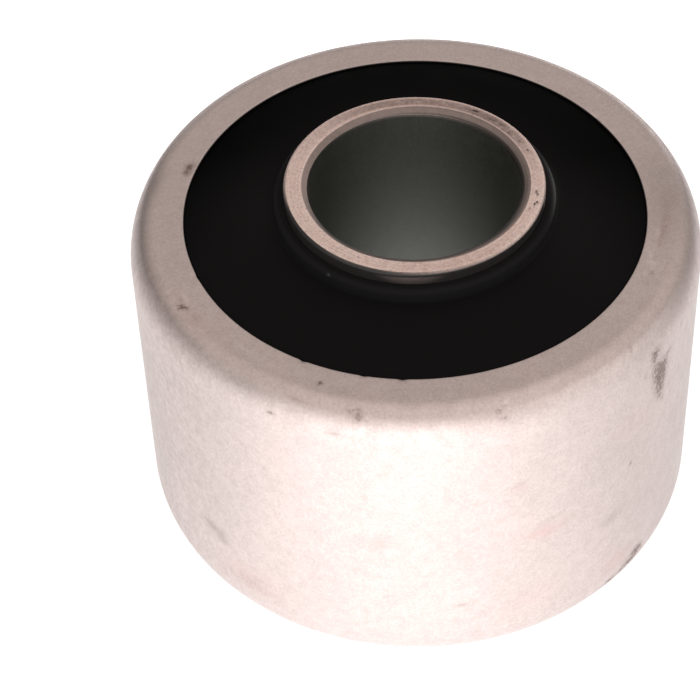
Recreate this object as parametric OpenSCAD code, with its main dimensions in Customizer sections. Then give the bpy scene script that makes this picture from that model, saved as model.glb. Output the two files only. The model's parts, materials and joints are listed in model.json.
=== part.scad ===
// Rubber metal bush: a steel inner sleeve bonded by rubber into a steel outer shell with rolled-in ends.
// Millimetres, +Z along the bore, origin at the middle of the bore. Both ends are alike.

/* [Outer sleeve] */
// Outside diameter of the shell, which is pressed into its housing
shell_d = 65; // [54:0.5:90]
// Length of the shell over its rolled ends
shell_len = 41; // [30:0.5:80]
// Thickness of the shell's wall and of its lips
shell_wall = 3; // [2:0.1:4]
// How far each rolled lip reaches in from the outside of the shell
lip_reach = 6.4; // [5:0.1:9]
// How far each rolled shoulder reaches in from the outside, measured across the bush
shoulder_run = 3.05; // [2.8:0.05:4]
// How far each rolled shoulder reaches down from the lip, measured along the bush
shoulder_drop = 4.55; // [3:0.05:7]
// Radius of the tight part of the shoulder, beside the lip
crest_r = 2.3; // [1.2:0.05:2.6]
// Radius of the bend on the inside of the shell
inner_bend_r = 1.2; // [0.6:0.1:2.4]
// Rounding of the lip's cut edge
lip_edge_r = 0.15; // [0.1:0.05:0.8]

/* [Inner sleeve] */
// Diameter of the bore
bore_d = 24; // [12:0.5:30]
// Thickness of the tube's wall
tube_wall = 2.7; // [2:0.1:4]
// How far the tube stands out past the shell at each end
tube_stand = 4.25; // [3.75:0.25:12]
// Width of the countersink at each end of the bore
bore_chamfer_w = 0.75; // [0.2:0.05:1.2]
// Depth of the countersink at each end of the bore
bore_chamfer_h = 0.45; // [0.2:0.05:1.5]
// Rounding of the tube's outer end edges
tube_edge_r = 0.4; // [0.1:0.05:0.6]

/* [Rubber] */
// Wall of the rubber collar round the tube
collar_wall = 1.2; // [0.7:0.1:2]
// Length of tube left bare above the collar
tube_bare = 1.55; // [0.7:0.05:2]
// Rounding of the collar's upper edge
collar_edge_r = 0.6; // [0.2:0.05:0.65]
// Concave fillet at the foot of the collar
collar_fillet_r = 0.4; // [0.2:0.05:0.6]
// Height of the rubber face above the lip, at the foot of the collar
face_rise = 1.2; // [0.2:0.1:1.6]
// Depth of the rubber face below the lip, at the lip's edge
face_sink = 0.2; // [0.2:0.1:1.5]

/* [Hidden] */
// Number of sides of the preview's rounds, which stand for true rounds
turn_fn = 180;
arc_fn = 64;
// Length by which a cutting or trimming shape runs past what it cuts
over = 1;

shell_r = shell_d / 2;
shell_half = shell_len / 2;
cavity_r = shell_r - shell_wall;
cavity_half = shell_half - shell_wall;
lip_r = shell_r - lip_reach;

// The shoulder is two arcs: a slow one from the shell's side, and the tight crest beside the lip
crest_gap = shoulder_run - crest_r;
slow_r = (pow(shoulder_run, 2) + pow(shoulder_drop, 2) - 2 * shoulder_drop * crest_r) / (2 * crest_gap);
side_half = shell_half - shoulder_drop;
slow_centre = [shell_r - slow_r, side_half];
crest_centre = [shell_r - shoulder_run, shell_half - crest_r];
// Direction from the slow arc's centre to the point where the two arcs meet
meet_dir = (crest_centre - slow_centre) / norm(crest_centre - slow_centre);

bore_r = bore_d / 2;
tube_r = bore_r + tube_wall;
tube_half = shell_half + tube_stand;

collar_r = tube_r + collar_wall;
collar_half = tube_half - tube_bare;
foot_r = collar_r + collar_fillet_r;
face_half = shell_half + face_rise;
// The rubber face is one arc, level at the foot of the collar and falling to the lip's edge
crown_fall = face_rise + face_sink;
crown_r = (pow(lip_r - foot_r, 2) + pow(crown_fall, 2)) / (2 * crown_fall);

// Draws its children, which are the upper half of a section, a second time for the lower half
module both_ends() {
    children();
    mirror([0, 1]) children();
}

// A rectangle between two corners
module block(low, high) {
    translate(low) square(high - low);
}

// Upper half of the section of a round bar, with its end's edge rounded
module bar_section(r, half, edge_r) {
    block([0, 0], [r - edge_r, half]);
    block([0, 0], [r, half - edge_r]);
    translate([r - edge_r, half - edge_r]) circle(edge_r, $fn = arc_fn);
}

// Upper half of the shell's outline, filled to the axis
module shell_outline() {
    block([0, 0], [shell_r, side_half]);
    block([0, 0], [crest_centre[0], shell_half]);
    translate(crest_centre) circle(crest_r, $fn = arc_fn);
    translate(slow_centre)
        intersection() {
            circle(slow_r, $fn = 2 * arc_fn);
            polygon([[0, 0], [2 * slow_r, 0], 2 * slow_r * meet_dir]);
        }
}

// Upper half of the space inside the shell, under the lips, which the rubber fills
module cavity_section() {
    bar_section(cavity_r, cavity_half, inner_bend_r);
}

// Upper half of the opening inside a lip, flared by the rounding of the lip's cut edge
module lip_opening() {
    block([0, 0], [lip_r, shell_half + over]);
    difference() {
        block([0, shell_half - lip_edge_r], [lip_r + lip_edge_r, shell_half + over]);
        translate([lip_r + lip_edge_r, shell_half - lip_edge_r]) circle(lip_edge_r, $fn = arc_fn);
    }
}

// Steel shell: a tube with both ends rolled in to flat lips
module outer_sleeve() {
    color("rosybrown")
        rotate_extrude($fn = turn_fn)
            both_ends()
                difference() {
                    shell_outline();
                    cavity_section();
                    lip_opening();
                }
}

// Upper half of the rubber inside the lip's opening: the crowned face, up to the collar
module face_section() {
    block([tube_r, 0], [foot_r, face_half]);
    intersection() {
        block([foot_r, 0], [lip_r, face_half + over]);
        translate([foot_r, face_half - crown_r]) circle(crown_r, $fn = 4 * arc_fn);
    }
}

// Upper half of the collar that clings to the tube, with the fillet at its foot
module collar_section() {
    intersection() {
        bar_section(collar_r, collar_half, collar_edge_r);
        block([tube_r, 0], [collar_r + over, collar_half + over]);
    }
    difference() {
        block([tube_r, face_half - over], [foot_r, face_half + collar_fillet_r]);
        translate([foot_r, face_half + collar_fillet_r]) circle(collar_fillet_r, $fn = arc_fn);
    }
}

// Black rubber, moulded and bonded between the two sleeves
module rubber_body() {
    color("dimgray")
        rotate_extrude($fn = turn_fn)
            both_ends() {
                intersection() {
                    cavity_section();
                    block([tube_r, 0], [cavity_r + over, cavity_half + over]);
                }
                face_section();
                collar_section();
            }
}

// Steel tube with a plain bore, countersunk at both ends
module inner_sleeve() {
    countersink = [
        [0, tube_half - bore_chamfer_h],
        [bore_r, tube_half - bore_chamfer_h],
        [bore_r + bore_chamfer_w, tube_half],
        [bore_r + bore_chamfer_w, tube_half + over],
        [0, tube_half + over]
    ];
    color("silver")
        rotate_extrude($fn = turn_fn)
            both_ends()
                difference() {
                    bar_section(tube_r, tube_half, tube_edge_r);
                    block([0, -over], [bore_r, tube_half]);
                    polygon(countersink);
                }
}

outer_sleeve();
rubber_body();
inner_sleeve();
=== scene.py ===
"""Looks of the rubber metal bush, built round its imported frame: surfaces, wear, light and camera."""

import json
import math
from collections import namedtuple

import bpy
import numpy as np
from mathutils import Matrix, Vector, noise


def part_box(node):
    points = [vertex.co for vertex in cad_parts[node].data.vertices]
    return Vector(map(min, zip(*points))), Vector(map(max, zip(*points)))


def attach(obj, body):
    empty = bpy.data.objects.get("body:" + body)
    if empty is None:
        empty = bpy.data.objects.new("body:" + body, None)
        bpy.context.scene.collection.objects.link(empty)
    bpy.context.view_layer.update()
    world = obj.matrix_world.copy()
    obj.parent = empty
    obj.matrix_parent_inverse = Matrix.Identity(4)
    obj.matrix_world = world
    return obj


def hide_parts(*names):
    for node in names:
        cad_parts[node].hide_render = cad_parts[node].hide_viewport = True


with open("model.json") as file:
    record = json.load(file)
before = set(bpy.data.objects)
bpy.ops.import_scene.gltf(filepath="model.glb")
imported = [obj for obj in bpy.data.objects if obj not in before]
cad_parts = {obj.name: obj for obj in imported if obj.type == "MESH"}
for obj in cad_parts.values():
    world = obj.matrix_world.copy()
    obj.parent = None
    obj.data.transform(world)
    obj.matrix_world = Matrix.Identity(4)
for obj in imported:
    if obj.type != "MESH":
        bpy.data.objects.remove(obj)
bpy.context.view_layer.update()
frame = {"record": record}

MM = 0.001


def reach(node):
    """Radius and half length of a node of the frame, in millimetres."""
    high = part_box(node)[1] / MM
    return high.x, high.z


# Sizes read from the frame, in millimetres
mounts = {mount["name"]: mount for mount in frame["record"]["mounts"]}
SHELL_R, SHELL_HALF = reach("outer_sleeve")
CAVITY_R, COLLAR_HALF = reach("rubber_body")
TUBE_R, TUBE_HALF = reach("inner_sleeve")
BORE_R = mounts["bore"]["dims"]["r_mm"]
SHELL_WALL = SHELL_R - CAVITY_R

# Sizes that the boxes don't give, in millimetres, as the solids have them
LIP_REACH = 6.4
SHOULDER_RUN = 3.05
SHOULDER_DROP = 4.55
CREST_R = 2.3
INNER_BEND_R = 1.2
LIP_EDGE_R = 0.15
CHAMFER_W = 0.75
CHAMFER_H = 0.45
TUBE_EDGE_R = 0.4
COLLAR_WALL = 1.2
COLLAR_EDGE_R = 0.6
COLLAR_FILLET_R = 0.4
FACE_RISE = 1.2
FACE_SINK = 0.2

# Where the countersink's middle seems to lie, to the right of the tube's axis
COUNTERSINK_SHIFT = 0.2

# Steps round the bush for each piece's mesh
SHELL_TURNS = 560
RUBBER_TURNS = 440
TUBE_TURNS = 512
# Spacing of the rows along a section, in millimetres: plain, fine and hidden stretches
PLAIN_STEP = 0.6
FINE_STEP = 0.2
HIDDEN_STEP = 4.0
# How far the finely spaced rows of the bore reach below the countersink
FINE_BORE = 1.0

LIP_R = SHELL_R - LIP_REACH
COLLAR_R = TUBE_R + COLLAR_WALL
FOOT_R = COLLAR_R + COLLAR_FILLET_R


# Sections

def straight(start, end, step):
    """Points from start towards end, with the end left out."""
    start, end = np.array(start, float), np.array(end, float)
    count = max(1, round(np.linalg.norm(end - start) / step))
    return [tuple(start + (end - start) * i / count) for i in range(count)]


def arc(centre, radius, start, end, step):
    """Points on an arc from one angle to another, in degrees, with the end left out."""
    count = max(4, round(abs(math.radians(end - start)) * radius / step))
    angles = [math.radians(start + (end - start) * i / count) for i in range(count)]
    return [(centre[0] + radius * math.cos(a), centre[1] + radius * math.sin(a)) for a in angles]


def both_ends(upper):
    """The whole closed section from its upper half, whose first and last points lie at the middle."""
    return np.array(upper + [(r, -z) for r, z in reversed(upper[1:-1])])


def shell_section():
    """Section of the outer sleeve: side, shoulder in two arcs, flat lip and the cavity inside."""
    crest_gap = SHOULDER_RUN - CREST_R
    slow_r = (SHOULDER_RUN**2 + SHOULDER_DROP**2 - 2 * SHOULDER_DROP * CREST_R) / (2 * crest_gap)
    slow_centre = (SHELL_R - slow_r, SHELL_HALF - SHOULDER_DROP)
    crest_centre = (SHELL_R - SHOULDER_RUN, SHELL_HALF - CREST_R)
    meet = math.degrees(math.atan2(crest_centre[1] - slow_centre[1], crest_centre[0] - slow_centre[0]))
    edge_centre = (LIP_R + LIP_EDGE_R, SHELL_HALF - LIP_EDGE_R)
    lip_under = SHELL_HALF - SHELL_WALL
    bend_centre = (CAVITY_R - INNER_BEND_R, lip_under - INNER_BEND_R)
    upper = straight((SHELL_R, 0), (SHELL_R, slow_centre[1]), PLAIN_STEP)
    upper += arc(slow_centre, slow_r, 0, meet, FINE_STEP * 1.5)
    upper += arc(crest_centre, CREST_R, meet, 90, FINE_STEP)
    upper += straight((crest_centre[0], SHELL_HALF), (edge_centre[0], SHELL_HALF), FINE_STEP)
    upper += arc(edge_centre, LIP_EDGE_R, 90, 180, FINE_STEP / 3)
    upper += straight((LIP_R, edge_centre[1]), (LIP_R, lip_under), FINE_STEP * 2)
    upper += straight((LIP_R, lip_under), (bend_centre[0], lip_under), HIDDEN_STEP)
    upper += arc(bend_centre, INNER_BEND_R, 90, 0, HIDDEN_STEP)
    upper += straight((CAVITY_R, bend_centre[1]), (CAVITY_R, 0), HIDDEN_STEP) + [(CAVITY_R, 0)]
    return both_ends(upper)


def rubber_section():
    """Section of the rubber: what fills the cavity, the crowned face, and the collar with its fillet."""
    lip_under = SHELL_HALF - SHELL_WALL
    bend_centre = (CAVITY_R - INNER_BEND_R, lip_under - INNER_BEND_R)
    face_high, face_low = SHELL_HALF + FACE_RISE, SHELL_HALF - FACE_SINK
    fall = face_high - face_low
    crown_r = ((LIP_R - FOOT_R) ** 2 + fall**2) / (2 * fall)
    crown_centre = (FOOT_R, face_high - crown_r)
    lip_angle = math.degrees(math.acos((LIP_R - FOOT_R) / crown_r))
    fillet_centre = (FOOT_R, face_high + COLLAR_FILLET_R)
    edge_centre = (COLLAR_R - COLLAR_EDGE_R, COLLAR_HALF - COLLAR_EDGE_R)
    upper = straight((CAVITY_R, 0), (CAVITY_R, bend_centre[1]), HIDDEN_STEP)
    upper += arc(bend_centre, INNER_BEND_R, 0, 90, HIDDEN_STEP)
    upper += straight((bend_centre[0], lip_under), (LIP_R, lip_under), HIDDEN_STEP)
    upper += straight((LIP_R, lip_under), (LIP_R, face_low), FINE_STEP * 2)
    upper += arc(crown_centre, crown_r, lip_angle, 90, FINE_STEP)
    upper += arc(fillet_centre, COLLAR_FILLET_R, 270, 180, FINE_STEP / 3)
    upper += straight((COLLAR_R, fillet_centre[1]), (COLLAR_R, edge_centre[1]), FINE_STEP / 2)
    upper += arc(edge_centre, COLLAR_EDGE_R, 0, 90, FINE_STEP / 3)
    upper += straight((edge_centre[0], COLLAR_HALF), (TUBE_R, COLLAR_HALF), FINE_STEP / 2)
    upper += straight((TUBE_R, COLLAR_HALF), (TUBE_R, 0), HIDDEN_STEP) + [(TUBE_R, 0)]
    return both_ends(upper)


def tube_section():
    """Section of the inner sleeve: wall, rounded outer edge, turned end face, countersink and bore."""
    edge_centre = (TUBE_R - TUBE_EDGE_R, TUBE_HALF - TUBE_EDGE_R)
    chamfer_top = (BORE_R + CHAMFER_W, TUBE_HALF)
    chamfer_foot = (BORE_R, TUBE_HALF - CHAMFER_H)
    fine_foot = (BORE_R, chamfer_foot[1] - FINE_BORE)
    upper = straight((TUBE_R, 0), (TUBE_R, COLLAR_HALF - FINE_STEP), HIDDEN_STEP)
    upper += straight((TUBE_R, COLLAR_HALF - FINE_STEP), (TUBE_R, edge_centre[1]), FINE_STEP)
    upper += arc(edge_centre, TUBE_EDGE_R, 0, 90, FINE_STEP / 3)
    upper += straight((edge_centre[0], TUBE_HALF), chamfer_top, FINE_STEP / 3)
    upper += straight(chamfer_top, chamfer_foot, FINE_STEP / 3)
    upper += straight(chamfer_foot, fine_foot, FINE_STEP / 2)
    upper += straight(fine_foot, (BORE_R, 0), PLAIN_STEP * 1.5) + [(BORE_R, 0)]
    return both_ends(upper)


# Surfaces of revolution with relief

class Lathe:
    """A closed section turned round the axis, with each point's place kept for relief and paint."""

    def __init__(self, section, turns):
        ahead, behind = np.roll(section, -1, 0), np.roll(section, 1, 0)
        along = ahead - behind
        along /= np.linalg.norm(along, axis=1)[:, None]
        steps = np.linalg.norm(ahead - section, axis=1)
        self.section, self.turns = section, turns
        self.normals = np.stack([along[:, 1], -along[:, 0]], 1)
        self.stations = np.concatenate([[0], np.cumsum(steps)[:-1]])
        self.round_length = steps.sum()
        azimuths = np.arange(turns) * 360 / turns
        shape = (turns, len(section))
        self.azimuth = np.broadcast_to(azimuths[:, None], shape)
        self.radius = np.broadcast_to(section[:, 0], shape)
        self.height = np.broadcast_to(section[:, 1], shape)
        self.station = np.broadcast_to(self.stations, shape)
        self.depth = np.zeros(shape)
        self.paint = {}

    def turned_from(self, azimuth):
        """How far round the bush each point lies from an azimuth, from -180 to 180 degrees."""
        return (self.azimuth - azimuth + 180) % 360 - 180

    def lobes(self, lobes):
        """Sum of lobes: each is full at its azimuth and falls to nearly 0 at twice its spread."""
        return sum(lobe.strength * bell(self.turned_from(lobe.azimuth) / lobe.spread) for lobe in lobes)

    def away(self, azimuth, radius, height):
        """How far each point lies from a place: round the bush, and along the section, in millimetres."""
        nearest = np.argmin(np.linalg.norm(self.section - (radius, height), axis=1))
        run = self.station - self.stations[nearest]
        run = (run + self.round_length / 2) % self.round_length - self.round_length / 2
        return np.radians(self.turned_from(azimuth)) * self.section[nearest, 0], run

    def marks(self, marks):
        """Sum of soft ellipses, one for each mark, weighted by its strength."""
        field = np.zeros(self.depth.shape)
        for mark in marks:
            across, run = self.away(mark.azimuth, mark.radius, mark.height)
            field += mark.strength * bell(np.hypot(across / mark.wide, run / mark.tall))
        return field

    def noise(self, size, seed):
        """Smooth noise from -1 to 1 over the surface, with features of about that size in millimetres."""
        points = self.points(0) / size + seed
        flat = [noise.noise(Vector(p)) for p in points.reshape(-1, 3)]
        return np.array(flat).reshape(self.depth.shape)

    def waves(self, size, seed):
        """The same noise from 0 to 1."""
        return 0.5 + 0.5 * self.noise(size, seed)

    def points(self, depth):
        """Every point of the surface, sunk by depth along the surface's normal, in millimetres."""
        radius = self.radius - depth * self.normals[:, 0]
        height = self.height - depth * self.normals[:, 1]
        turn = np.radians(self.azimuth)
        return np.stack([radius * np.cos(turn), radius * np.sin(turn), height], -1)

    def build(self, name):
        """The finished mesh object, in metres, smooth shaded, with the paint as attributes."""
        rows = len(self.section)
        corner = np.arange(self.turns * rows).reshape(self.turns, rows)
        beside = np.roll(corner, -1, 0)
        faces = np.stack([corner, beside, np.roll(beside, -1, 1), np.roll(corner, -1, 1)], -1)
        places = (self.points(self.depth) * MM).reshape(-1, 3)
        mesh = bpy.data.meshes.new(name)
        mesh.from_pydata(places.tolist(), [], faces.reshape(-1, 4).tolist())
        mesh.shade_smooth()
        for layer, values in self.paint.items():
            attribute = mesh.attributes.new(layer, "FLOAT", "POINT")
            attribute.data.foreach_set("value", values.astype(np.float32).ravel())
        piece = bpy.data.objects.new(name, mesh)
        bpy.context.scene.collection.objects.link(piece)
        return piece


def bell(x):
    """1 at 0, falling smoothly to nearly 0 at 2."""
    return np.exp(-x * x)


def band(x, low, high, soft):
    """1 between two values, falling evenly to 0 over a soft margin outside them."""
    return np.clip((x - low) / soft + 1, 0, 1) * np.clip((high - x) / soft + 1, 0, 1)


# Marks that the photograph shows. Azimuth is in degrees, with 270 facing the camera. Places and sizes are
# in millimetres, and strength is how much of the mark's finish shows.
Mark = namedtuple("Mark", "azimuth radius height wide tall strength")

# Burnt and scuffed spots, dark and broken up
SOOT = [
    Mark(323.0, SHELL_R, 16.9, 0.8, 0.5, 0.9),
    Mark(323.0, SHELL_R, 15.8, 0.7, 0.5, 0.8),
    Mark(326.2, SHELL_R, 13.8, 0.7, 0.45, 1.5),
    Mark(328.2, SHELL_R, 14.6, 0.5, 0.5, 0.6),
    Mark(326.0, SHELL_R, 12.4, 0.85, 1.0, 1.1),
    Mark(325.2, SHELL_R, 13.0, 1.1, 2.2, 0.5),
    Mark(326.2, SHELL_R, 11.6, 0.7, 1.5, 0.5),
    Mark(325.7, SHELL_R, 10.6, 0.8, 1.1, 1.0),
    Mark(326.0, SHELL_R, 9.0, 0.6, 0.7, 0.7),
    Mark(323.4, SHELL_R, 14.3, 0.8, 0.9, 0.75),
    Mark(323.8, SHELL_R, 12.5, 0.6, 0.7, 0.5),
    Mark(320.1, SHELL_R, 14.8, 0.4, 0.6, 0.35),
    Mark(327.2, SHELL_R, 7.4, 0.2, 0.2, 0.5),
    Mark(321.5, SHELL_R, -16.0, 0.9, 0.6, 1.7),
    Mark(319.4, 32.4, -16.9, 1.4, 0.6, 1.1),
    Mark(316.8, 32.4, -17.0, 0.8, 0.4, 0.6),
    Mark(313.4, 32.3, -17.4, 0.9, 0.5, 1.0),
    Mark(317.0, SHELL_R, 1.8, 0.2, 0.3, 0.7),
    Mark(163.2, 27.1, SHELL_HALF, 0.38, 0.45, 1.4),
    Mark(165.2, 27.1, SHELL_HALF, 0.42, 0.4, 1.1),
    Mark(210.1, 29.6, SHELL_HALF, 0.32, 0.4, 1.2),
    Mark(211.0, 29.2, SHELL_HALF, 0.25, 0.25, 0.9),
    Mark(248.8, 28.5, SHELL_HALF, 0.25, 0.3, 1.0),
    Mark(285.8, 31.3, 19.5, 0.3, 0.25, 0.8),
    Mark(287.1, 31.0, 19.8, 0.25, 0.2, 0.5),
    Mark(286.6, 31.7, 18.9, 0.3, 0.2, 0.5),
    Mark(317.0, 31.2, 19.6, 0.25, 0.3, 0.7),
    Mark(337.3, 28.0, SHELL_HALF, 0.3, 0.3, 0.5),
    Mark(333.9, SHELL_R, 16.4, 0.3, 0.3, 0.4),
    Mark(241.0, 32.2, 17.8, 0.45, 0.15, 0.6),
    Mark(256.9, 30.9, 20.0, 0.4, 0.25, 0.45),
    Mark(258.2, 30.7, 20.1, 0.3, 0.2, 0.4),
    Mark(258.7, 31.1, 19.7, 0.3, 0.35, 0.55),
    Mark(258.3, 31.5, 19.2, 0.35, 0.25, 0.5),
    Mark(260.2, 31.4, 19.4, 0.25, 0.25, 0.3),
]
# Soft grey smudges, and two broad patches of painted shade on the side, at azimuths 200 and 347
SMUDGES_AND_SIDE_SHADE = [
    Mark(223.5, SHELL_R, -8.2, 2.0, 0.9, 0.36),
    Mark(226.0, SHELL_R, -9.2, 1.0, 0.5, 0.26),
    Mark(278.2, SHELL_R, -10.6, 0.7, 0.2, 0.35),
    Mark(254.0, 32.3, 17.4, 0.7, 0.2, 0.35),
    Mark(263.2, SHELL_R, -8.8, 0.3, 0.25, 0.3),
    Mark(311.5, SHELL_R, -5.6, 1.8, 0.8, 0.20),
    Mark(289.6, SHELL_R, 8.2, 0.6, 0.3, 0.15),
    Mark(292.6, SHELL_R, 4.9, 0.7, 0.6, 0.12),
    Mark(162.2, 26.9, SHELL_HALF, 0.6, 0.5, 0.25),
    Mark(208.4, 29.2, SHELL_HALF, 0.6, 0.3, 0.2),
    Mark(170.0, 30.1, 20.4, 2.5, 0.8, 0.25),
    Mark(4.0, 28.4, SHELL_HALF, 8.0, 3.0, 0.22),
    Mark(325.0, SHELL_R, 12.6, 1.0, 2.6, 0.25),
    Mark(164.2, 27.1, SHELL_HALF, 0.9, 0.5, 0.35),
    # Painted shade: two broad darker patches on the shell's side
    Mark(200.0, SHELL_R, 0.0, 6.0, 16.0, 0.09),
    Mark(347.0, SHELL_R, 0.0, 7.0, 16.0, 0.10),
    Mark(235.0, 31.2, 19.6, 3.5, 0.8, 0.15),
]
# Brown and reddish stains
BROWN = [
    Mark(258.2, 31.1, 19.7, 0.8, 0.7, 0.4),
    Mark(246.0, 31.0, 19.8, 1.1, 0.2, 0.5),
    Mark(245.7, 31.8, 18.7, 0.5, 0.25, 0.4),
    Mark(296.6, SHELL_R, 0.6, 1.9, 0.4, 0.22),
    Mark(294.3, SHELL_R, 0.0, 0.9, 0.35, 0.16),
    Mark(262.0, SHELL_R, 0.5, 1.4, 1.2, 0.20),
    Mark(233.0, SHELL_R, -14.0, 3.0, 1.2, 0.3),
    Mark(358.3, 28.3, SHELL_HALF, 2.2, 0.45, 0.36),
    Mark(352.4, 28.1, SHELL_HALF, 1.5, 0.35, 0.42),
    Mark(348.4, 27.8, SHELL_HALF, 1.2, 0.4, 0.40),
    Mark(2.0, 29.3, SHELL_HALF, 1.5, 0.6, 0.3),
    Mark(214.6, 29.1, SHELL_HALF, 0.6, 0.4, 0.35),
]
# Pale reddish tinges
TINGES = [
    Mark(295.4, SHELL_R, -0.9, 2.4, 0.8, 0.75),
    Mark(289.8, SHELL_R, 7.6, 0.8, 0.7, 0.30),
    Mark(314.5, SHELL_R, -14.0, 2.6, 1.6, 0.35),
    Mark(293.0, SHELL_R, -12.5, 3.0, 1.5, 0.25),
    Mark(262.0, SHELL_R, 0.5, 1.6, 1.4, 0.30),
    Mark(233.0, SHELL_R, -13.0, 4.0, 2.0, 0.35),
    Mark(216.0, 29.4, SHELL_HALF, 3.5, 1.0, 0.25),
    Mark(318.0, SHELL_R, 8.0, 3.0, 2.0, 0.20),
]
# Light, rubbed lines
RUBBED = [
    Mark(340.6, 27.7, SHELL_HALF, 0.3, 0.6, 0.45),
    Mark(343.5, 27.3, SHELL_HALF, 0.7, 0.25, 0.35),
    Mark(337.0, 27.5, SHELL_HALF, 0.35, 0.3, 0.4),
    Mark(350.5, 27.5, SHELL_HALF, 0.9, 0.25, 0.3),
    Mark(287.6, 30.8, 20.0, 0.3, 0.5, 0.5),
    Mark(260.4, 31.3, 19.5, 0.3, 0.4, 0.4),
    Mark(208.0, 28.6, SHELL_HALF, 0.8, 0.25, 0.3),
    Mark(229.0, 28.2, SHELL_HALF, 1.2, 0.3, 0.25),
]
# Nicks in the lips' cut edges, with their depth in millimetres as the strength
LIP_NICKS = [
    Mark(242.4, LIP_R, SHELL_HALF, 0.3, 0.3, 0.12),
    Mark(257.5, LIP_R, SHELL_HALF, 0.25, 0.3, 0.1),
    Mark(266.6, LIP_R, SHELL_HALF, 0.4, 0.3, 0.1),
    Mark(203.0, LIP_R, SHELL_HALF, 0.6, 0.3, 0.08),
    Mark(36.0, LIP_R, SHELL_HALF, 0.5, 0.3, 0.1),
    Mark(128.0, LIP_R, SHELL_HALF, 0.6, 0.3, 0.08),
]
# Pits and scratches in the tube's end, with their depth in millimetres as the strength
TUBE_PITS = [
    Mark(58.9, 13.9, TUBE_HALF, 0.35, 0.16, 0.09),
    Mark(62.4, 13.8, TUBE_HALF, 0.6, 0.1, 0.05),
    Mark(49.8, 13.7, TUBE_HALF, 0.6, 0.12, 0.04),
    Mark(43.0, 13.8, TUBE_HALF, 0.5, 0.12, 0.04),
    Mark(36.5, 13.5, TUBE_HALF, 0.5, 0.12, 0.04),
    Mark(28.9, 13.7, TUBE_HALF, 0.4, 0.14, 0.04),
    Mark(21.5, 13.8, TUBE_HALF, 0.2, 0.15, 0.07),
    Mark(352.0, 13.7, TUBE_HALF, 0.35, 0.18, 0.06),
    Mark(350.2, 13.9, TUBE_HALF, 0.2, 0.15, 0.06),
    Mark(345.1, 14.0, TUBE_HALF, 0.16, 0.13, 0.11),
    Mark(343.6, 13.8, TUBE_HALF, 0.22, 0.12, 0.09),
    Mark(340.1, 13.5, TUBE_HALF, 0.2, 0.12, 0.05),
    Mark(259.1, 14.2, TUBE_HALF, 0.25, 0.1, 0.05),
    Mark(242.6, 13.4, TUBE_HALF, 0.15, 0.12, 0.04),
]
# Where the collar's edge is painted grey as a painted highlight, and a speck of dust on it
COLLAR_HIGHLIGHT_AND_DUST = [
    Mark(4.0, COLLAR_R, COLLAR_HALF - 0.3, 4.0, 0.35, 1.0),
    Mark(14.0, COLLAR_R, COLLAR_HALF - 0.7, 4.5, 0.9, 0.35),
    Mark(233.2, COLLAR_R, COLLAR_HALF - 0.3, 0.15, 0.15, 0.7),
]

# A finish, painted light or painted shade, that shows with some strength towards an azimuth and spreads
# from there. Angles are in degrees.
Lobe = namedtuple("Lobe", "strength azimuth spread")

# Where the shell's side has a coarser skin
COARSE_SKIN = [Lobe(1.0, 208, 24)]
# Where painted light greys the foot of the collar, on both sides of the front
SIDE_PAINTED_LIGHT = [Lobe(1.0, 180, 25), Lobe(1.0, 350, 25)]
# Where the tube's end is tarnished, and where its tone is painted lighter as a painted sheen of its turned
# face
TARNISH = [Lobe(0.70, 48, 28), Lobe(0.58, 98, 28), Lobe(0.12, 135, 20)]
PAINTED_SHEEN = [Lobe(1.3, 200, 48), Lobe(0.8, 350, 32)]
# How many millimetres deeper the turning lines are there
DEEP_LINES = [Lobe(0.014, 45, 30)]
# Painted light: how many millimetres narrower the countersink's dark colour is painted, and how much paler
# it is painted, towards two azimuths
PAINTED_NARROWER_COUNTERSINK = [Lobe(0.12, 212, 22)]
PAINTED_PALER_COUNTERSINK = [Lobe(0.25, 182, 24)]
# Where the countersink is painted dark as a painted reflection of the dark bore, where the dark band at its
# foot is weaker, and where its foot has a painted highlight
COUNTERSINK_DARK_REFLECTION = [Lobe(0.8, 222, 20), Lobe(0.75, 322, 18)]
WEAKER_FOOT_DARK = [Lobe(0.45, 90, 42), Lobe(0.75, 270, 42)]
FOOT_HIGHLIGHT = [Lobe(1.0, 92, 50)]
# Where rubber lies on the tube's rounded edge, and in a line along it
EDGE_FILM = [Lobe(0.95, 208, 34), Lobe(0.7, 258, 26), Lobe(0.25, 295, 22)]
EDGE_LINE = [Lobe(0.25, 268, 30)]
# Where the tube's wall is bare, and where its film of rubber is thin
BARE_WALL = [Lobe(0.97, 2, 11)]
THIN_FILM = [Lobe(1.0, 268, 20)]

# Rings that the turning tool left: pitch in millimetres, wobble, and the size and seed of the wobble
TOOL_RINGS = [(0.43, 0.6, 6.0, 5.3), (0.27, 0.9, 4.0, 2.7)]
# Depths of the relief, in millimetres
SHELL_WAVE_DEPTH = 0.03
SHELL_HAMMERED_DEPTH = 0.01
SOOT_DEPTH = 0.03
RUBBER_WAVE_DEPTH = 0.02
RING_DEPTH = 0.006
# How much a pit darkens for each millimetre of its depth
PIT_SHADE = 12
# Tarnish of the tube's end: inner and outer radius, the width of its soft margin, and its share all round
TARNISHED_RADII = (13.25, 14.1)
TARNISH_MARGIN = 0.25
TARNISH_ALL_ROUND = 0.06
# Azimuth at which the rubber's painted light is strongest
FRONT_PAINTED_LIGHT_AZIMUTH = 268
# How far below the upper end the bore's painted light is at its fullest, in millimetres
BORE_PAINTED_LIGHT_DEPTH = 22.0
# Margin for telling which stretch of a section a point lies on, in millimetres
NEAR = 0.01


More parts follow.
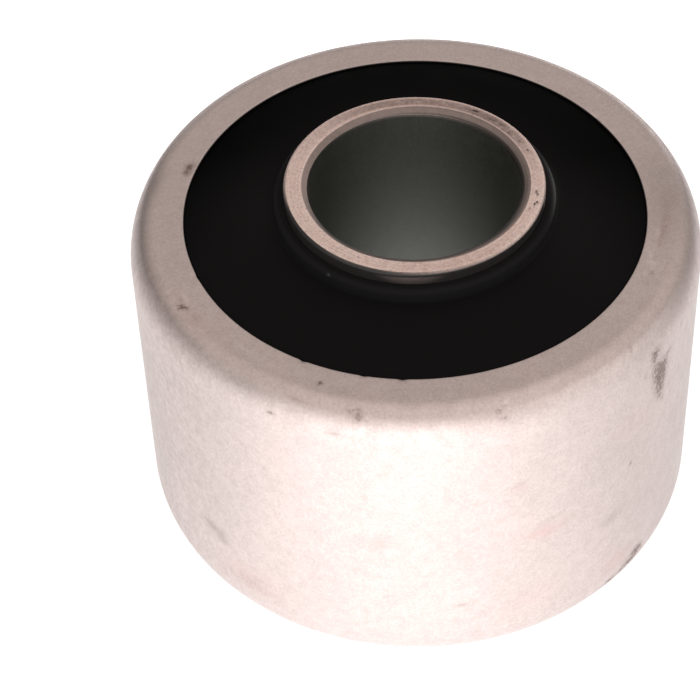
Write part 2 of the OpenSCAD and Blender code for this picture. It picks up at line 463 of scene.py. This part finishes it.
def make_shell():
    """Outer sleeve: pressed steel, faintly uneven, with nicked lip edges and scuffed marks."""
    lathe = Lathe(shell_section(), SHELL_TURNS)
    in_opening = lathe.radius < LIP_R + NEAR
    under_lip = np.abs(lathe.height) < SHELL_HALF - SHELL_WALL + NEAR
    shown = 1.0 - (in_opening | under_lip) * (lathe.radius < CAVITY_R + NEAR)
    soot = lathe.marks(SOOT)
    lathe.depth = SHELL_WAVE_DEPTH * lathe.waves(size=9.0, seed=3.1)
    lathe.depth += SHELL_HAMMERED_DEPTH * lathe.waves(size=2.2, seed=7.7) * shown
    lathe.depth += SOOT_DEPTH * np.minimum(soot, 1) * shown + lathe.marks(LIP_NICKS)
    lathe.paint["soot"] = soot
    lathe.paint["smudge"] = lathe.marks(SMUDGES_AND_SIDE_SHADE)
    lathe.paint["coarse"] = lathe.lobes(COARSE_SKIN) * (lathe.radius > SHELL_R - SHOULDER_RUN)
    lathe.paint["brown"] = lathe.marks(BROWN)
    lathe.paint["tinge"] = lathe.marks(TINGES)
    lathe.paint["rubbed"] = lathe.marks(RUBBED)
    lathe.paint["film"] = band(lathe.radius, 0, LIP_R + 0.2 * LIP_EDGE_R, 0.8 * LIP_EDGE_R)
    return lathe.build("outer_sleeve_rolled_shell")


def make_rubber():
    """Rubber: crowned face and collar, with a slightly uneven skin, painted light that greys it in front
    and on the collar, painted shade towards the lip, and a painted highlight and a speck of dust on the
    collar's edge.
    """
    lathe = Lathe(rubber_section(), RUBBER_TURNS)
    past_lip = np.abs(lathe.height) - SHELL_HALF
    open_face = (lathe.radius < LIP_R) * (past_lip > -FACE_SINK - 0.1)
    lathe.depth = open_face * RUBBER_WAVE_DEPTH * lathe.waves(size=6.0, seed=1.9)
    # Painted light and shade: the rubber is painted greyer in front and on the collar, and darker towards
    # the lip, for how light falls on it
    from_lip = 1 - np.clip((lathe.radius - FOOT_R) / (LIP_R - FOOT_R), 0, 1)
    front = np.clip(0.5 + 1.2 * np.cos(np.radians(lathe.turned_from(FRONT_PAINTED_LIGHT_AZIMUTH))), 0, 1)
    bloom = front + 0.9 * (1 - front) * from_lip**1.3 + 0.5 * lathe.lobes(SIDE_PAINTED_LIGHT) * from_lip**0.7
    on_collar = np.clip((past_lip - FACE_RISE - 0.1) / 0.4, 0, 1)
    lathe.paint["bloom"] = 0.6 * bloom * (1 - on_collar) + on_collar
    # Painted highlight on the collar's edge, and a speck of dust
    lathe.paint["wear"] = lathe.marks(COLLAR_HIGHLIGHT_AND_DUST)
    return lathe.build("rubber_moulding")


def turning_lines(lathe):
    """Slightly wobbling rings round the axis, from 0 to 1."""
    rings = [np.sin(2 * np.pi * lathe.radius / pitch + wobble * lathe.noise(size, seed))
             for pitch, wobble, size, seed in TOOL_RINGS]
    return 0.5 + 0.5 * sum(rings) / len(rings)


def paint_countersink(lathe, from_end):
    """The countersink, its painted dark reflection at two sides, and the darker band and the painted
    highlight at its foot.
    """
    across, along = lathe.points(0)[..., 0], lathe.points(0)[..., 1]
    shifted = np.hypot(across - COUNTERSINK_SHIFT, along)
    sunk = (lathe.radius > BORE_R + NEAR) * (from_end < CHAMFER_H - NEAR)
    # Painted light: the countersink's dark colour is narrower and paler towards its left side
    outer_edge = BORE_R + CHAMFER_W + 0.06 - lathe.lobes(PAINTED_NARROWER_COUNTERSINK)
    chamfer = sunk * band(shifted, 0, outer_edge, 0.08)
    lathe.paint["chamfer"] = chamfer * (1 - lathe.lobes(PAINTED_PALER_COUNTERSINK))
    # Painted reflection: the countersink is painted dark at two sides, in the film layer, for the dark bore
    # it mirrors
    lathe.paint["film"] = lathe.lobes(COUNTERSINK_DARK_REFLECTION) * sunk * band(shifted, 0, BORE_R + 0.4, 0.15)
    # A darker band at the countersink's foot, weaker towards the back and the front
    to_foot = (lathe.radius < BORE_R + CHAMFER_W) * band(from_end, 0, CHAMFER_H + 0.02, 0.18)
    lathe.paint["grime"] = (1 - lathe.lobes(WEAKER_FOOT_DARK)) * to_foot * band(shifted, 0, BORE_R + 0.06, 0.18)
    # Painted highlight on the top of the bore's wall, towards the back
    past_foot = (lathe.radius < BORE_R + NEAR) * band(from_end, 0, CHAMFER_H + 0.1, 0.35)
    lathe.paint["rubbed_foot"] = past_foot * lathe.lobes(FOOT_HIGHLIGHT)


def wall_film(lathe, from_end):
    """Film of rubber on the tube's outer wall, and in places on its rounded edge."""
    down_edge = np.clip(from_end / TUBE_EDGE_R, 0, 1)
    down_wall = np.clip(from_end - TUBE_EDGE_R - 0.1, 0, 1)
    on_edge = lathe.lobes(EDGE_FILM) * (1 - down_edge)
    on_edge += lathe.lobes(EDGE_LINE) * bell((from_end - 0.3) / 0.14)
    on_wall = 1 - lathe.lobes(BARE_WALL) - (0.21 - 0.09 * down_wall) * lathe.lobes(THIN_FILM)
    film = np.clip(on_edge + on_wall * down_edge, 0, 1)
    return film * (lathe.radius > TUBE_R - 0.75 * TUBE_EDGE_R)


def make_tube():
    """Inner sleeve: turned and tarnished end faces, a countersunk bore and a film of rubber outside."""
    lathe = Lathe(tube_section(), TUBE_TURNS)
    from_end = TUBE_HALF - np.abs(lathe.height)
    on_face = (from_end < NEAR) * 1.0
    lines = on_face * turning_lines(lathe)
    pits = lathe.marks(TUBE_PITS)
    lathe.depth = lines * (RING_DEPTH + lathe.lobes(DEEP_LINES)) + pits
    lathe.paint["pits"] = PIT_SHADE * pits
    lathe.paint["lines"] = lines
    tarnished = on_face * band(lathe.radius, *TARNISHED_RADII, TARNISH_MARGIN)
    lathe.paint["tarnish"] = tarnished * (TARNISH_ALL_ROUND + lathe.lobes(TARNISH))
    # Painted sheen: the end's tone is painted lighter towards two azimuths
    lathe.paint["bright"] = lathe.lobes(PAINTED_SHEEN)
    lathe.paint["bore"] = (lathe.radius < BORE_R + NEAR) * 1.0
    # Painted light: the bore's lining is painted lighter further below the upper end
    lathe.paint["deep"] = np.clip((TUBE_HALF - lathe.height) / BORE_PAINTED_LIGHT_DEPTH, 0, 1)
    paint_countersink(lathe, from_end)
    # The film layer holds the rubber film on the wall and the countersink's painted dark reflection
    lathe.paint["film"] += wall_film(lathe, from_end)
    return lathe.build("inner_sleeve_turned_tube")


# Materials

def rgb(red, green, blue):
    """A colour as a shader socket takes it."""
    return (red, green, blue, 1.0)


# Colours of the shell's steel: two broad tones, the mottle, the grain and the spots of the coarse skin
SHELL_TONES = (rgb(0.655, 0.553, 0.530), rgb(0.622, 0.529, 0.507))
SHELL_MOTTLE = rgb(0.39, 0.32, 0.30)
SHELL_GRAIN = (rgb(0.79, 0.69, 0.67), rgb(0.45, 0.37, 0.35))
SHELL_SPOTS = (rgb(0.86, 0.76, 0.74), rgb(0.40, 0.32, 0.30))
# Colours of the marks on the shell
SMUDGE_AND_SHADE_COLOUR = rgb(0.175, 0.135, 0.120)
TINGE_COLOUR = rgb(0.64, 0.45, 0.43)
BROWN_COLOUR = rgb(0.33, 0.21, 0.18)
RUBBED_COLOUR = rgb(0.90, 0.80, 0.77)
SOOT_COLOUR = rgb(0.135, 0.076, 0.058)
# Colours of the rubber: in the shade, with its painted light, with its painted highlight and dust, and as a
# film on steel, which also paints a dark reflection in the countersink
RUBBER_BLACK = rgb(0.0003, 0.0003, 0.0003)
RUBBER_PAINTED_LIGHT = rgb(0.0122, 0.0118, 0.0122)
RUBBER_HIGHLIGHT_AND_DUST = rgb(0.085, 0.09, 0.092)
FILM_COLOUR = rgb(0.012, 0.010, 0.010)
# Colours of the tube's end
TUBE_TONES = (rgb(1.0, 0.81, 0.745), rgb(0.80, 0.60, 0.54))
TUBE_GRAIN = rgb(0.45, 0.29, 0.27)
TARNISH_COLOUR = rgb(0.22, 0.165, 0.15)
LINE_COLOUR = rgb(0.35, 0.26, 0.24)
PIT_COLOUR = rgb(0.05, 0.04, 0.035)
# Colours of the countersink, of the painted highlight below its foot and of the darker band at its foot
COUNTERSINK_COLOUR = rgb(0.19, 0.155, 0.145)
FOOT_HIGHLIGHT_COLOUR = rgb(0.62, 0.52, 0.48)
FOOT_DARK_COLOUR = rgb(0.045, 0.041, 0.038)
# Colours of the bore's lining: two tones, and its painted light where it lies deep
BORE_TONES = (rgb(0.155, 0.16, 0.147), rgb(0.21, 0.215, 0.198))
BORE_PAINTED_LIGHT_COLOUR = rgb(0.295, 0.30, 0.275)


def set_inputs(tree, node, inputs):
    """Gives each named input of a node its value, or joins it to its socket."""
    for key, value in inputs.items():
        if isinstance(value, bpy.types.NodeSocket):
            tree.links.new(value, node.inputs[key])
        else:
            node.inputs[key].default_value = value


def add(tree, kind, inputs=None, **settings):
    """A new node with its settings made and its inputs set."""
    made = tree.nodes.new(kind)
    for key, value in settings.items():
        setattr(made, key, value)
    set_inputs(tree, made, inputs or {})
    return made


def new_material(name):
    """An empty material with one Principled shader joined to its output."""
    material = bpy.data.materials.new(name)
    material.use_nodes = True
    tree = material.node_tree
    tree.nodes.clear()
    shader = add(tree, "ShaderNodeBsdfPrincipled")
    add(tree, "ShaderNodeOutputMaterial", {"Surface": shader.outputs[0]})
    return material, tree, shader


def place_of(tree):
    """Object coordinates, in metres. They are the frame's own, because no object is moved."""
    return add(tree, "ShaderNodeTexCoord").outputs["Object"]


def cloud(tree, place, size, detail=3.0, roughness=0.5):
    """Noise from 0 to 1 with features of about that size in millimetres."""
    inputs = {"Vector": place, "Scale": 1 / (size * MM), "Detail": detail, "Roughness": roughness}
    return add(tree, "ShaderNodeTexNoise", inputs).outputs[0]


def remap(tree, value, low, high, to_low=0.0, to_high=1.0, course="LINEAR"):
    """The value moved from one range to another, and held inside it."""
    inputs = {0: value, 1: low, 2: high, 3: to_low, 4: to_high}
    return add(tree, "ShaderNodeMapRange", inputs, interpolation_type=course).outputs[0]


def combine(tree, operation, a, b):
    """One arithmetic step on two numbers."""
    return add(tree, "ShaderNodeMath", {0: a, 1: b}, operation=operation).outputs[0]


def dot(tree, a, b):
    """Dot product of two vectors."""
    return add(tree, "ShaderNodeVectorMath", {0: a, 1: b}, operation="DOT_PRODUCT").outputs["Value"]


def layered(tree, colour, layers):
    """The colour with further colours laid over it in turn, each by its share from 0 to 1."""
    for share, over in layers:
        colour = add(tree, "ShaderNodeMix", {0: share, 6: colour, 7: over}, data_type="RGBA").outputs[2]
    return colour


def painted(tree, layer):
    """A number painted on the mesh."""
    return add(tree, "ShaderNodeAttribute", attribute_name=layer).outputs["Fac"]


def uneven(tree, layer, pattern, spread, full):
    """A painted layer made uneven by a pattern from 0 to 1, up to a full share."""
    factor = remap(tree, pattern, 0.0, 1.0, 1 - spread, 1 + spread)
    return remap(tree, combine(tree, "MULTIPLY", painted(tree, layer), factor), 0.0, 1.0, 0.0, full)


def bump(tree, height, depth):
    """Normals from a height of 0 to 1, which stands for that depth in millimetres."""
    inputs = {"Height": height, "Distance": depth * MM, "Strength": 1.0}
    return add(tree, "ShaderNodeBump", inputs).outputs[0]


def shell_steel():
    """Matte pinkish steel, grained and mottled, with soot, smudges, painted shade on the side, brown stains
    and a filmed lip edge.
    """
    material, tree, shader = new_material("shell_steel")
    place = place_of(tree)
    broad = cloud(tree, place, 8.0, 2.0)
    mottle = cloud(tree, place, 1.3, 4.0, 0.6)
    spots = cloud(tree, place, 0.75, 1.0)
    grain = cloud(tree, place, 0.3, 2.0, 0.7)
    blotch = remap(tree, cloud(tree, place, 0.4, 3.0, 0.75), 0.38, 0.62)
    coarse, film = painted(tree, "coarse"), painted(tree, "film")
    soot = uneven(tree, "soot", blotch, 0.8, 0.9)
    colour = layered(tree, SHELL_TONES[0], [
        (remap(tree, broad, 0.35, 0.65), SHELL_TONES[1]),
        (remap(tree, mottle, 0.4, 0.75, 0.0, 0.20), SHELL_MOTTLE),
        (remap(tree, grain, 0.5, 0.75, 0.0, 0.4), SHELL_GRAIN[0]),
        (remap(tree, grain, 0.5, 0.25, 0.0, 0.4), SHELL_GRAIN[1]),
        (combine(tree, "MULTIPLY", coarse, remap(tree, spots, 0.5, 0.68, 0.0, 0.18)), SHELL_SPOTS[0]),
        (combine(tree, "MULTIPLY", coarse, remap(tree, spots, 0.5, 0.32, 0.0, 0.16)), SHELL_SPOTS[1]),
        (painted(tree, "smudge"), SMUDGE_AND_SHADE_COLOUR),
        (uneven(tree, "tinge", mottle, 0.5, 0.9), TINGE_COLOUR),
        (uneven(tree, "brown", blotch, 0.6, 0.65), BROWN_COLOUR),
        (uneven(tree, "rubbed", blotch, 0.5, 1.0), RUBBED_COLOUR),
        (soot, SOOT_COLOUR),
        (film, FILM_COLOUR),
    ])
    height = combine(tree, "ADD", combine(tree, "MULTIPLY", grain, 0.5), mottle)
    set_inputs(tree, shader, {
        "Base Color": colour,
        "Roughness": remap(tree, mottle, 0.3, 0.7, 0.38, 0.48),
        "Metallic": combine(tree, "SUBTRACT", 1.0, combine(tree, "MAXIMUM", soot, film)),
        "Normal": bump(tree, height, 0.02),
    })
    return material


def black_rubber():
    """Deep black moulded rubber with a satin skin, painted greyer where light falls on it, with a painted
    grey highlight and a speck of dust on the collar.
    """
    material, tree, shader = new_material("black_rubber")
    place = place_of(tree)
    skin = cloud(tree, place, 0.35, 3.0)
    patches = cloud(tree, place, 5.0, 3.0)
    set_inputs(tree, shader, {
        "Base Color": layered(tree, RUBBER_BLACK, [
            (painted(tree, "bloom"), RUBBER_PAINTED_LIGHT),
            (painted(tree, "wear"), RUBBER_HIGHLIGHT_AND_DUST),
        ]),
        "Roughness": remap(tree, patches, 0.3, 0.7, 0.42, 0.52),
        "Specular IOR Level": 0.01,
        "Normal": bump(tree, skin, 0.006),
    })
    return material


def tube_steel():
    """Turned steel: pinkish on the end faces with tarnish, film and a painted sheen, darker and greyer in
    the bore with painted light lower down, and painted shade and a painted highlight round the countersink.
    """
    material, tree, shader = new_material("tube_steel")
    place = place_of(tree)
    mottle = cloud(tree, place, 0.7, 4.0, 0.7)
    grain = cloud(tree, place, 0.27, 3.0, 0.6)
    patches = remap(tree, cloud(tree, place, 0.5, 3.0, 0.7), 0.3, 0.7)
    # The painted sheen takes the dull tone away
    dulled = combine(tree, "SUBTRACT", remap(tree, mottle, 0.3, 0.7), painted(tree, "bright"))
    # The film layer: rubber film on the wall, and the countersink's painted dark reflection
    film = remap(tree, painted(tree, "film"), 0.0, 0.9)
    lining = layered(tree, BORE_TONES[0], [
        (remap(tree, grain, 0.3, 0.7), BORE_TONES[1]),
        (painted(tree, "deep"), BORE_PAINTED_LIGHT_COLOUR),
    ])
    colour = layered(tree, TUBE_TONES[0], [
        (dulled, TUBE_TONES[1]),
        (remap(tree, grain, 0.55, 0.25, 0.0, 0.55), TUBE_GRAIN),
        (uneven(tree, "tarnish", patches, 0.35, 1.0), TARNISH_COLOUR),
        (combine(tree, "MULTIPLY", painted(tree, "lines"), 0.22), LINE_COLOUR),
        (remap(tree, painted(tree, "pits"), 0.1, 0.8, 0.0, 0.9), PIT_COLOUR),
        (combine(tree, "MULTIPLY", painted(tree, "chamfer"), 0.9), COUNTERSINK_COLOUR),
        (painted(tree, "bore"), lining),
        (painted(tree, "rubbed_foot"), FOOT_HIGHLIGHT_COLOUR),
        (painted(tree, "grime"), FOOT_DARK_COLOUR),
        (film, FILM_COLOUR),
    ])
    set_inputs(tree, shader, {
        "Base Color": colour,
        "Roughness": remap(tree, mottle, 0.3, 0.7, 0.40, 0.52),
        "Metallic": combine(tree, "SUBTRACT", 1.0, film),
        "Normal": bump(tree, combine(tree, "ADD", grain, mottle), 0.012),
    })
    return material


def dress(piece, node, material):
    """The piece takes the material, rides on the body and stands in for a node, which is hidden."""
    piece.data.materials.append(material)
    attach(piece, "root")
    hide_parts(node)


dress(make_shell(), "outer_sleeve", shell_steel())
dress(make_rubber(), "rubber_body", black_rubber())
dress(make_tube(), "inner_sleeve", tube_steel())


# Camera, at the photograph's own angle

IMAGE_PX = 700
SENSOR_MM = 36.0
LENS_MM = 128.1
VIEW_DISTANCE_MM = 296.3
VIEW_ELEVATION = math.radians(46.01)
VIEW_ROLL = math.radians(0.887)
# Nearest and farthest distance that the camera sees
CLIP_M = (0.01, 20.0)
# Where the bush's centre falls in the picture
CENTRE_PX = Vector((416.46, 335.60))


def make_camera():
    """Camera that looks from the front and above, turned so that the bush's centre falls on its pixel."""
    back = Vector((0, -math.cos(VIEW_ELEVATION), math.sin(VIEW_ELEVATION)))
    upright = Matrix(((1, 0, 0), (0, math.sin(VIEW_ELEVATION), math.cos(VIEW_ELEVATION)), -back))
    pixels = LENS_MM / SENSOR_MM * IMAGE_PX
    ahead = Vector((0, 0, 1))
    aim = Vector((CENTRE_PX.x - IMAGE_PX / 2, IMAGE_PX / 2 - CENTRE_PX.y, pixels)).normalized()
    turn = Matrix.Rotation(ahead.angle(aim), 3, ahead.cross(aim).normalized())
    roll = Matrix.Rotation(VIEW_ROLL, 3, aim)
    right, up, forward = roll @ turn @ upright
    camera = bpy.data.objects.new("camera", bpy.data.cameras.new("camera"))
    camera.data.sensor_width = SENSOR_MM
    camera.data.lens = LENS_MM
    camera.data.clip_start, camera.data.clip_end = CLIP_M
    facing = Matrix((right, up, -forward)).transposed().to_4x4()
    camera.matrix_world = Matrix.Translation(back * VIEW_DISTANCE_MM * MM) @ facing
    bpy.context.scene.collection.objects.link(camera)
    bpy.context.scene.camera = camera


# Floor and light

FLOOR_HALF_M = 3.0
FLOOR_SHADE = 0.12
# Glow of the floor near the bush, far from it and towards the front, and what the front half adds far
# from the bush and the back adds everywhere
GLOW_NEAR = 0.98
GLOW_FAR = 0.17
GLOW_FRONT = 2.08
GLOW_AHEAD = 0.76
GLOW_BACK = 0.6
# Distances from the bush's axis, in metres, over which the glow falls
GLOW_FALL = (0.11, 0.17)
GLOW_FRONT_AZIMUTH = math.radians(265)
# Cosines of the angle from the front between which the front half's share of the glow grows
GLOW_AHEAD_COSINES = (-0.42, 0.2)
# How quickly the glow falls off to both sides of the front and of the back
GLOW_FRONT_POWER = 2.4
GLOW_BACK_POWER = 4.0


def make_floor():
    """A plain white floor that glows near the bush, as a light table does, most of all in front."""
    edge = FLOOR_HALF_M
    level = -TUBE_HALF * MM
    mesh = bpy.data.meshes.new("floor")
    corners = [(-edge, -edge, level), (edge, -edge, level), (edge, edge, level), (-edge, edge, level)]
    mesh.from_pydata(corners, [], [(0, 1, 2, 3)])
    material, tree, shader = new_material("floor")
    place = place_of(tree)
    front = (math.cos(GLOW_FRONT_AZIMUTH), math.sin(GLOW_FRONT_AZIMUTH), 0)
    distance = add(tree, "ShaderNodeVectorMath", {0: place}, operation="LENGTH").outputs["Value"]
    forward = dot(tree, place, front)
    ahead = combine(tree, "DIVIDE", forward, distance)
    behind = combine(tree, "MULTIPLY", ahead, -1.0)
    to_front = combine(tree, "POWER", combine(tree, "MAXIMUM", ahead, 0.0), GLOW_FRONT_POWER)
    to_back = combine(tree, "POWER", combine(tree, "MAXIMUM", behind, 0.0), GLOW_BACK_POWER)
    far = remap(tree, ahead, *GLOW_AHEAD_COSINES, GLOW_FAR, GLOW_FAR + GLOW_AHEAD)
    around = remap(tree, distance, *GLOW_FALL, GLOW_NEAR, far, "SMOOTHSTEP")
    around = combine(tree, "ADD", around, combine(tree, "MULTIPLY", to_back, GLOW_BACK))
    set_inputs(tree, shader, {
        "Base Color": rgb(FLOOR_SHADE, FLOOR_SHADE, FLOOR_SHADE),
        "Roughness": 0.9,
        "Specular IOR Level": 0.0,
        "Emission Color": rgb(1.0, 1.0, 1.0),
        "Emission Strength": remap(tree, to_front, 0.0, 1.0, around, GLOW_FRONT),
    })
    mesh.materials.append(material)
    floor = bpy.data.objects.new("floor", mesh)
    bpy.context.scene.collection.objects.link(floor)


def make_softbox(name, azimuth, elevation, distance, size, radiance):
    """A rectangular soft light that faces the bush. Its brightness is given as seen from the bush."""
    turn, rise = math.radians(azimuth), math.radians(elevation)
    away = Vector((math.cos(turn) * math.cos(rise), math.sin(turn) * math.cos(rise), math.sin(rise)))
    lamp = bpy.data.lights.new(name, "AREA")
    lamp.shape = "RECTANGLE"
    lamp.size, lamp.size_y = size
    lamp.energy = radiance * math.pi * size[0] * size[1]
    light = bpy.data.objects.new(name, lamp)
    light.location = away * distance
    light.rotation_mode = "QUATERNION"
    light.rotation_quaternion = away.to_track_quat("Z", "Y")
    light.visible_camera = False
    bpy.context.scene.collection.objects.link(light)


# Brightness of the surroundings: at the level of the horizon on average, and what a direction adds to it
WORLD_LEVEL = 0.30
WORLD_TO_FRONT = 0.25
WORLD_TO_TOP = 0.67
WORLD_FRONT_AZIMUTH = math.radians(300)
WORLD_TINT = (1.0, 0.93, 0.88)
# Low soft panels that stand round the bush: azimuth, elevation, width, height and brightness
PANEL_DISTANCE = 1.0
PANELS = {
    "left_panel": (205, 30.0, 0.45, 0.35, 0.5),
    "front_left_panel": (232, 6.5, 0.60, 0.22, 1.35),
    "front_panel": (268, 6.5, 0.75, 0.22, 2.4),
    "front_right_panel": (322, 13.0, 0.70, 0.45, 0.6),
    "right_panel": (355, 4.0, 0.60, 0.20, 0.85),
    "right_back_panel": (66, 4.0, 0.35, 0.18, 1.6),
    "back_panel": (95, 5.0, 0.75, 0.20, 0.9),
}


def make_world():
    """Soft surroundings that brighten towards the front and the top."""
    world = bpy.data.worlds.new("studio")
    world.use_nodes = True
    tree = world.node_tree
    tree.nodes.clear()
    direction = add(tree, "ShaderNodeTexCoord").outputs["Generated"]
    slope = (WORLD_TO_FRONT * math.cos(WORLD_FRONT_AZIMUTH), WORLD_TO_FRONT * math.sin(WORLD_FRONT_AZIMUTH),
             WORLD_TO_TOP)
    level = combine(tree, "ADD", dot(tree, direction, slope), WORLD_LEVEL)
    shade = add(tree, "ShaderNodeBackground", {"Color": rgb(*WORLD_TINT), "Strength": level})
    add(tree, "ShaderNodeOutputWorld", {"Surface": shade.outputs[0]})
    bpy.context.scene.world = world


make_camera()
make_floor()
make_world()
for panel, (azimuth, elevation, width, height, radiance) in PANELS.items():
    make_softbox(panel, azimuth, elevation, PANEL_DISTANCE, (width, height), radiance)
bpy.context.scene.view_settings.view_transform = "Standard"
